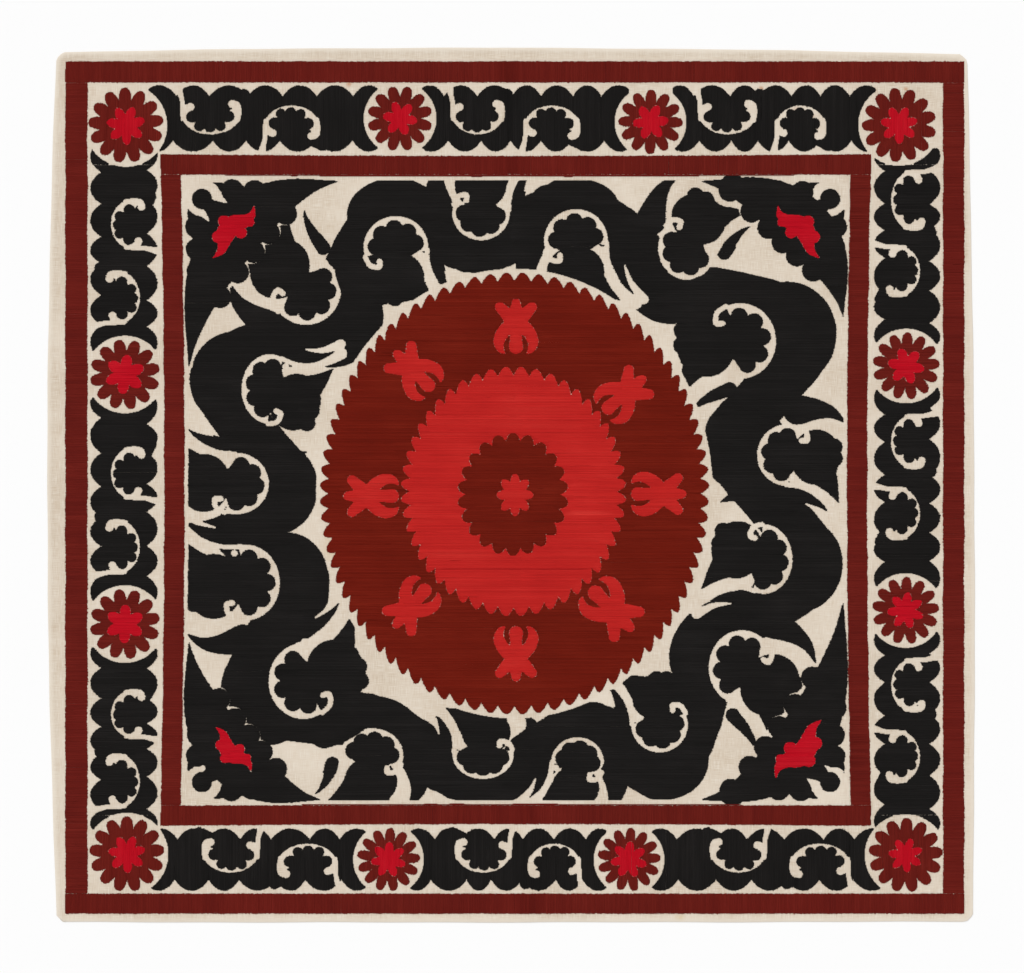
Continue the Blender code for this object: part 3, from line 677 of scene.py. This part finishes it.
def cottonMaterial():
    material, tree, shader, place = newMaterial("handloomCotton", 0.9, 0.15)
    warp = noise(tree, scaled(tree, place, (1400, 40, 40)), 1.0, 2.0)
    weft = noise(tree, scaled(tree, place, (40, 1400, 40)), 1.0, 2.0)
    slub = mathNode(tree, "ADD", warp, weft)
    blotch = noise(tree, place, 6.0, 4.0, 0.6)
    colour = mixColour(tree, spread(tree, blotch, 0.35, 0.68), ground["deep"], ground["cream"])
    colour = mixColour(tree, spread(tree, slub, 0.85, 1.3), colour, ground["pale"])
    for x, y, radius, strength, name in stainRows:
        spot = tree.nodes.new("ShaderNodeGroup")
        spot.node_tree = stainSpot
        tree.links.new(place, spot.inputs["Vector"])
        spot.inputs["Centre"].default_value = (x / 1000, y / 1000, 0.002)
        spot.inputs["Radius"].default_value = radius / 1000
        spot.inputs["Strength"].default_value = strength
        colour = mixColour(tree, spot.outputs["Mask"], colour, stainColours[name])
    edge = tree.nodes.new("ShaderNodeAttribute")
    edge.attribute_name = "hem"
    colour = mixColour(tree, edge.outputs["Fac"], colour, ground["pale"])
    tree.links.new(colour, shader.inputs["Base Color"])
    bump = tree.nodes.new("ShaderNodeBump")
    bump.inputs["Strength"].default_value = 0.5
    bump.inputs["Distance"].default_value = 0.0006
    tree.links.new(slub, bump.inputs["Height"])
    tree.links.new(bump.outputs["Normal"], shader.inputs["Normal"])
    return material


def meshPiece(name, points, faces, material):
    mesh = bpy.data.meshes.new(name)
    mesh.from_pydata([tuple(p) for p in points], [], [tuple(f) for f in faces])
    mesh.update()
    piece = bpy.data.objects.new(name, mesh)
    bpy.context.scene.collection.objects.link(piece)
    if material:
        mesh.materials.append(material)
    return piece


def rimLoop(inset):
    # The cloth's edge, counterclockwise, evenly stepped and moved in by a distance.
    edge = rimRows[::-1]
    edge = np.vstack([edge, edge[:1]])
    walked = np.concatenate([[0], np.cumsum(np.hypot(*np.diff(edge, axis=0).T))])
    at = np.arange(0, walked[-1], ground["rimStep"])
    x, y = np.interp(at, walked, edge[:, 0]), np.interp(at, walked, edge[:, 1])
    dx, dy = np.roll(x, -1) - np.roll(x, 1), np.roll(y, -1) - np.roll(y, 1)
    size = np.hypot(dx, dy)
    waver = ground["rimWaver"] * (np.sin(at / 37.0) + np.sin(at / 83.0 + 1.0)) / 2 + ground["rimWaver"]
    inset = inset + waver
    return np.column_stack([x - dy / size * inset, y + dx / size * inset])


def groundSheet(material):
    # The cotton: a triangulated sheet with a turned hem along its rim, and a thin underside.
    loops = [rimLoop(d) for d in (0.0, 1.2, 5.0, ground["hemWide"] - 1.5, ground["hemWide"], 16.0)]
    rows = [point for loop in loops for point in loop]
    count = len(loops[0])
    left, bottom = loops[-1].min(axis=0) + 8
    right, top = loops[-1].max(axis=0) - 8
    for y in np.arange(bottom, top, ground["grid"]):
        for x in np.arange(left, right, ground["grid"]):
            if abs(x) < 870 and abs(y) < 830 or min(np.hypot(*(loops[-1] - (x, y)).T)) > 7:
                rows.append((x, y))
    edges = [(k, (k + 1) % count) for k in range(count)]
    found = mathutils.geometry.delaunay_2d_cdt(
        [mathutils.Vector((float(p[0]), float(p[1]))) for p in rows], edges, [], 1, 1e-4)
    flat = np.array([tuple(v) for v in found[0]])
    faces = np.array([f for f in found[2] if len(f) == 3])
    depth = np.full(len(flat), 99.0)
    near = (np.abs(flat[:, 0]) > 880) | (np.abs(flat[:, 1]) > 840)
    for k in np.nonzero(near)[0]:
        depth[k] = np.hypot(*(loops[0] - flat[k]).T).min()
    across = (0.0, 1.5, 5.0, ground["hemWide"] - 1.5, ground["hemWide"] + 0.8)
    rise = np.interp(depth, across, (0.0, 0.6, 1.0, 0.9, 0.0))
    lift = clothHeight(flat[:, 0], flat[:, 1])
    lift = lift * np.interp(depth, (0, 25), (0.2, 1.0))
    high = ground["top"] - 0.35 + lift + ground["hemRise"] * rise
    low = np.maximum(high - ground["thick"] - ground["hemRise"] * rise, 0.02)
    upper = np.column_stack([flat, high]) / 1000
    under = np.column_stack([flat, low]) / 1000
    if np.cross(flat[faces[0][1]] - flat[faces[0][0]], flat[faces[0][2]] - flat[faces[0][0]]) < 0:
        faces = faces[:, ::-1]
    ends = np.concatenate([faces[:, [0, 1]], faces[:, [1, 2]], faces[:, [2, 0]]])
    pairs = {tuple(e) for e in ends.tolist()}
    border = [(a, b) for a, b in pairs if (b, a) not in pairs]
    n = len(flat)
    walls = [(a, a + n, b + n) for a, b in border] + [(a, b + n, b) for a, b in border]
    every = faces.tolist() + (faces[:, ::-1] + n).tolist() + walls
    piece = meshPiece("groundCloth", np.vstack([upper, under]), every, material)
    hem = piece.data.attributes.new("hem", "FLOAT", "POINT")
    light = np.interp(depth, (0, 4.0, 7.0, 13.0), (0.85, 0.6, 0.15, 0.0)).astype(np.float32)
    hem.data.foreach_set("value", np.concatenate([light, light]))
    piece.data.polygons.foreach_set("use_smooth", np.ones(len(every), bool))
    return piece


def threadTree():
    # Laid threads: each run of stations becomes one plump thread.
    tree = bpy.data.node_groups.new("laidThreads", "GeometryNodeTree")
    socket = tree.interface.new_socket
    socket("Geometry", in_out="INPUT", socket_type="NodeSocketGeometry")
    socket("Girth", in_out="INPUT", socket_type="NodeSocketFloat")
    socket("Flatness", in_out="INPUT", socket_type="NodeSocketFloat")
    socket("Silk", in_out="INPUT", socket_type="NodeSocketMaterial")
    socket("Geometry", in_out="OUTPUT", socket_type="NodeSocketGeometry")
    add, link = tree.nodes.new, tree.links.new
    come, go = add("NodeGroupInput"), add("NodeGroupOutput")
    curves = add("GeometryNodeMeshToCurve")
    link(come.outputs["Geometry"], curves.inputs[0])
    upright = add("GeometryNodeSetCurveNormal")
    upright.mode = "Z_UP"
    link(curves.outputs[0], upright.inputs["Curve"])
    girth = add("GeometryNodeInputNamedAttribute")
    girth.inputs["Name"].default_value = "girth"
    size = add("ShaderNodeMath")
    size.operation = "MULTIPLY"
    link(girth.outputs["Attribute"], size.inputs[0])
    link(come.outputs["Girth"], size.inputs[1])
    radius = add("GeometryNodeSetCurveRadius")
    link(upright.outputs["Curve"], radius.inputs["Curve"])
    link(size.outputs[0], radius.inputs["Radius"])
    profile = add("GeometryNodeCurvePrimitiveCircle")
    profile.inputs["Resolution"].default_value = 3
    profile.inputs["Radius"].default_value = 1.0
    shape = add("ShaderNodeCombineXYZ")
    shape.inputs["X"].default_value = 1.0
    shape.inputs["Z"].default_value = 1.0
    link(come.outputs["Flatness"], shape.inputs["Y"])
    turned = add("GeometryNodeTransform")
    turned.inputs["Rotation"].default_value = (0, 0, math.pi / 2)
    link(profile.outputs["Curve"], turned.inputs["Geometry"])
    flattened = add("GeometryNodeTransform")
    link(turned.outputs[0], flattened.inputs["Geometry"])
    link(shape.outputs[0], flattened.inputs["Scale"])
    sweep = add("GeometryNodeCurveToMesh")
    sweep.inputs["Fill Caps"].default_value = True
    link(radius.outputs["Curve"], sweep.inputs["Curve"])
    link(flattened.outputs[0], sweep.inputs["Profile Curve"])
    if "Scale" in sweep.inputs:
        link(size.outputs[0], sweep.inputs["Scale"])
    smooth = add("GeometryNodeSetShadeSmooth")
    link(sweep.outputs[0], smooth.inputs["Geometry"])
    real = add("GeometryNodeRealizeInstances")
    link(smooth.outputs[0], real.inputs[0])
    painted = add("GeometryNodeSetMaterial")
    link(real.outputs[0], painted.inputs["Geometry"])
    link(come.outputs["Silk"], painted.inputs["Material"])
    link(painted.outputs[0], go.inputs[0])
    return tree


laidThreads = threadTree()
threads = dict(pitch=1.4, girth=0.00102, flatness=0.5, seat=2.02, station=46.0, ragged=0.55, shortest=2.2)


def smoothNoise(u, v, seed):
    # Even random values on a lattice, blended between its points.
    table = np.random.default_rng(seed).random((97, 101))
    i, j = np.floor(u).astype(int), np.floor(v).astype(int)
    s, t = u - i, v - j
    s, t = s * s * (3 - 2 * s), t * t * (3 - 2 * t)
    def at(a, b):
        return table[a % 97, b % 101]
    near = at(i, j) * (1 - s) + at(i + 1, j) * s
    far = at(i, j + 1) * (1 - s) + at(i + 1, j + 1) * s
    return near * (1 - t) + far * t


# Rows that stand out in the photograph. Columns: colour, first and last x, first and last y, change of
# tone.
rowMarks = [
    ("ring", -142, 158, -170, -167, -0.9),
    ("ring", 105, 200, -60, -52, 0.35),
    ("medallion", -228, -132, -13, -8, -0.5),
]


def spansOf(field, marks, step):
    # Where each line of the grid enters and leaves a field below zero.
    inside = np.pad(field < 0, ((0, 0), (1, 1)))
    change = np.diff(inside.astype(np.int8), axis=1)
    row, first = np.nonzero(change == 1)
    last = np.nonzero(change == -1)[1] - 1
    before, after = np.maximum(first - 1, 0), np.minimum(last + 1, field.shape[1] - 1)
    a = field[row, first] / (field[row, first] - field[row, before] - 1e-6)
    b = field[row, last] / (field[row, last] - field[row, after] - 1e-6)
    return row, marks[first] - step * np.clip(a, 0, 1), marks[last] + step * np.clip(b, 0, 1)


def threadPiece(name, colour, zone, alongX, material, values, seed):
    # Fills one colour of the pattern inside a zone with rows of laid thread.
    x, y = canvas.x[None, :], canvas.y[:, None]
    field = np.where(zone(x, y), canvas.fields[colour], 40.0)
    lines, marks = (canvas.y, canvas.x) if alongX else (canvas.x, canvas.y)
    row, start, end = spansOf(field if alongX else field.T, marks, canvas.step)
    random = np.random.default_rng(seed)
    start = start - random.normal(0, values["ragged"], len(start))
    end = end + random.normal(0, values["ragged"], len(end))
    keep = end - start > values["shortest"]
    row, start, end = row[keep], start[keep], end[keep]
    across = lines[row] + random.normal(0, 0.1, len(row))
    stations = np.arange(marks[0], marks[-1], values["station"])
    if alongX:
        # Closer stations where a thread crosses the storage fold.
        stations = np.union1d(stations, np.arange(-45, 66, 10.0))
    low = np.searchsorted(stations, start + 3)
    high = np.maximum(np.searchsorted(stations, end - 3), low)
    sizes = high - low + 2
    offsets = np.concatenate([[0], np.cumsum(sizes)])
    along = np.zeros(offsets[-1])
    owner = np.repeat(np.arange(len(row)), sizes)
    place = np.arange(offsets[-1]) - offsets[owner]
    inner = (place > 0) & (place < sizes[owner] - 1)
    along[inner] = stations[np.minimum(low[owner] + place - 1, len(stations) - 1)[inner]]
    along[place == 0] = start
    along[place == sizes[owner] - 1] = end
    side = across[owner]
    px, py = (along, side) if alongX else (side, along)
    ends = (place == 0) | (place == sizes[owner] - 1)
    pz = values["seat"] + clothHeight(px, py) - 0.35 * ends
    girth = 1 + random.normal(0, 0.05, len(row))
    narrow, wide = smoothNoise(along / 90, side / 9, seed + 1), smoothNoise(along / 60, side / 33, seed + 2)
    batch = (narrow + wide) * 0.5
    tone = 0.5 + (batch - 0.5) * values["batch"] + random.normal(0, values["each"], len(row))[owner]
    for marked, x0, x1, y0, y1, change in rowMarks:
        if marked == colour:
            tone += change * ((px > x0) & (px < x1) & (py > y0) & (py < y1))
    points = np.column_stack([px, py, pz]) / 1000
    links = np.nonzero(owner[:-1] == owner[1:])[0]
    mesh = bpy.data.meshes.new(name)
    mesh.vertices.add(len(points))
    mesh.vertices.foreach_set("co", points.astype(np.float32).ravel())
    mesh.edges.add(len(links))
    mesh.edges.foreach_set("vertices", np.column_stack([links, links + 1]).astype(np.int32).ravel())
    for label, data in (("tone", tone), ("girth", girth[owner])):
        mesh.attributes.new(label, "FLOAT", "POINT").data.foreach_set("value", data.astype(np.float32))
    guide = bpy.data.objects.new(name + "Guide", mesh)
    bpy.context.scene.collection.objects.link(guide)
    inputs = dict(Girth=values["girth"], Flatness=values["flatness"], Silk=material)
    return swept(guide, name, laidThreads, inputs)


def swept(guide, name, tree, inputs):
    # Runs a node tree on a guide and keeps its result as a plain mesh.
    modifier = guide.modifiers.new("made", "NODES")
    modifier.node_group = tree
    for item in tree.interface.items_tree:
        if item.in_out == "INPUT" and item.name in inputs:
            modifier[item.identifier] = inputs[item.name]
    graph = bpy.context.evaluated_depsgraph_get()
    mesh = bpy.data.meshes.new_from_object(guide.evaluated_get(graph))
    mesh.name = name
    guide.modifiers.remove(modifier)
    bpy.data.objects.remove(guide)
    piece = bpy.data.objects.new(name, mesh)
    bpy.context.scene.collection.objects.link(piece)
    return piece


canvas = drawCloth(threads["pitch"])
print("pattern drafted")

cotton = cottonMaterial()
cloth = groundSheet(cotton)
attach(cloth, "root")
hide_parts("ground_cloth")
print("ground cloth laid:", len(cloth.data.polygons), "triangles")

# Where the rows of stitches run down the cloth, and where across it: the lines where they change
zones = dict(top=640, bottom=-660, outerTop=804, outerBottom=-817, innerTop=620, innerBottom=-640)


def inMain(x, y):
    return (np.abs(x - 10) < 690) & (np.abs(y + 10) < 655)


def upright(x, y):
    return ((y > zones["top"]) | (y < zones["bottom"])) & ~inMain(x, y)


def sideways(x, y):
    return ~upright(x, y) & ~inMain(x, y)


def outerUpright(x, y):
    return (y > zones["outerTop"]) | (y < zones["outerBottom"])


def outerSideways(x, y):
    return ~outerUpright(x, y) & (np.abs(x - 10) > 800)


def innerEnds(y):
    return (y > zones["innerTop"]) | (y < zones["innerBottom"])


def innerUpright(x, y):
    return innerEnds(y) & (np.abs(y) < 740) & (np.abs(x) < 760)


def innerSideways(x, y):
    return ~innerEnds(y) & (np.abs(x) < 780)


def everywhere(x, y):
    return (x > -2000) & (y > -2000)


# The silks: the name of each one's material, and its darkest, usual and lightest shade
blackSilk = dict(
    label="black", dark=linear(20, 19, 18), middle=linear(29, 27, 26), light=linear(44, 41, 40),
)
barSilk = dict(
    label="dark", dark=linear(90, 21, 18), middle=linear(110, 29, 22), light=linear(134, 42, 33),
)
medallionSilk = dict(
    label="medallion", dark=linear(94, 20, 8), middle=linear(116, 26, 12), light=linear(142, 41, 24),
)
brightSilk = dict(
    label="bright", dark=linear(178, 28, 28), middle=linear(203, 38, 35), light=linear(224, 58, 51),
)
starSilk = dict(
    label="star", dark=linear(176, 7, 25), middle=linear(199, 13, 33), light=linear(220, 38, 50),
)
silkLook = dict(batch=0.3, each=0.045)


def nodesOf(start, numbers=None):
    # The solids whose names begin alike, all of them or those with the numbers given.
    found = sorted(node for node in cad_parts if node.startswith(start))
    if numbers is None:
        return found
    return [node for node in found if int(node.removeprefix(start).split("_")[0]) in numbers]


# Columns: piece, pattern colour, zone, rows across the cloth, silk, slot, solids it stands for.
threadRows = [
    ("mainScrollSilk", "black", inMain, True, blackSilk, "dark_silk",
     nodesOf("main_scroll") + nodesOf("corner_spray")),
    ("borderScrollSilkEnds", "black", upright, False, blackSilk, "dark_silk",
     nodesOf("border_scroll_", (1, 2, 3, 7, 8, 9))),
    ("borderScrollSilkSides", "black", sideways, True, blackSilk, "dark_silk",
     nodesOf("border_scroll_", (4, 5, 6, 10, 11, 12))),
    ("outerBarSilkEnds", "bar", outerUpright, False, barSilk, "border_silk", ["outer_bar"]),
    ("outerBarSilkSides", "bar", outerSideways, True, barSilk, "border_silk", []),
    ("innerBarSilkEnds", "bar", innerUpright, False, barSilk, "border_silk", ["inner_bar"]),
    ("innerBarSilkSides", "bar", innerSideways, True, barSilk, "border_silk", []),
    ("medallionSilk", "medallion", everywhere, True, medallionSilk, "medallion_silk", ["medallion"]),
    ("medallionBrightSilk", "ring", everywhere, True, brightSilk, "medallion_silk", []),
    ("rosetteSilkEnds", "rosette", upright, False, barSilk, "rosette_silk",
     nodesOf("rosette_", (1, 2, 3, 4, 7, 8, 9, 10))),
    ("rosetteSilkSides", "rosette", sideways, True, barSilk, "rosette_silk",
     nodesOf("rosette_", (5, 6, 11, 12))),
    ("starSilkEnds", "star", upright, False, starSilk, "rosette_silk", []),
    ("starSilkSides", "star", sideways, True, starSilk, "rosette_silk", []),
    ("flameSilk", "star", inMain, True, starSilk, "dark_silk", []),
]
madeSilks = {}
for k, (name, colour, zone, alongX, shades, slot, nodes) in enumerate(threadRows):
    key = shades["label"] + ("SilkAcross" if alongX else "SilkDown")
    if key not in madeSilks:
        madeSilks[key] = silk(key, shades["dark"], shades["middle"], shades["light"], alongX)
    piece = threadPiece(name, colour, zone, alongX, madeSilks[key], {**threads, **silkLook}, 100 + 7 * k)
    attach(piece, "root")
    if nodes:
        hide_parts(*nodes)
    print(name, len(piece.data.polygons), "faces")

# Floor and soft light
studio = dict(
    floor=linear(255, 255, 255), half=4.0, world=0.78, sun=0.95, sunTurn=-60.0, sunLean=48.0, sunSoft=25.0,
)
floorMaterial, _, floorShader, _ = newMaterial("paperFloor", 0.95, 0.05)
floorShader.inputs["Base Color"].default_value = studio["floor"]
h = studio["half"]
floor = meshPiece("floor", [(-h, -h, 0), (h, -h, 0), (h, h, 0), (-h, h, 0)], [(0, 1, 2, 3)], floorMaterial)
world = bpy.data.worlds.new("studio")
bpy.context.scene.world = world
world.use_nodes = True
world.node_tree.nodes["Background"].inputs["Color"].default_value = (1, 1, 1, 1)
world.node_tree.nodes["Background"].inputs["Strength"].default_value = studio["world"]
sunData = bpy.data.lights.new("window", "SUN")
sunData.energy = studio["sun"]
sunData.angle = math.radians(studio["sunSoft"])
sun = bpy.data.objects.new("window", sunData)
sun.rotation_euler = (0, math.radians(-studio["sunLean"]), math.radians(studio["sunTurn"]))
bpy.context.scene.collection.objects.link(sun)
bpy.context.scene.view_settings.view_transform = "Standard"
print("floor and light set")
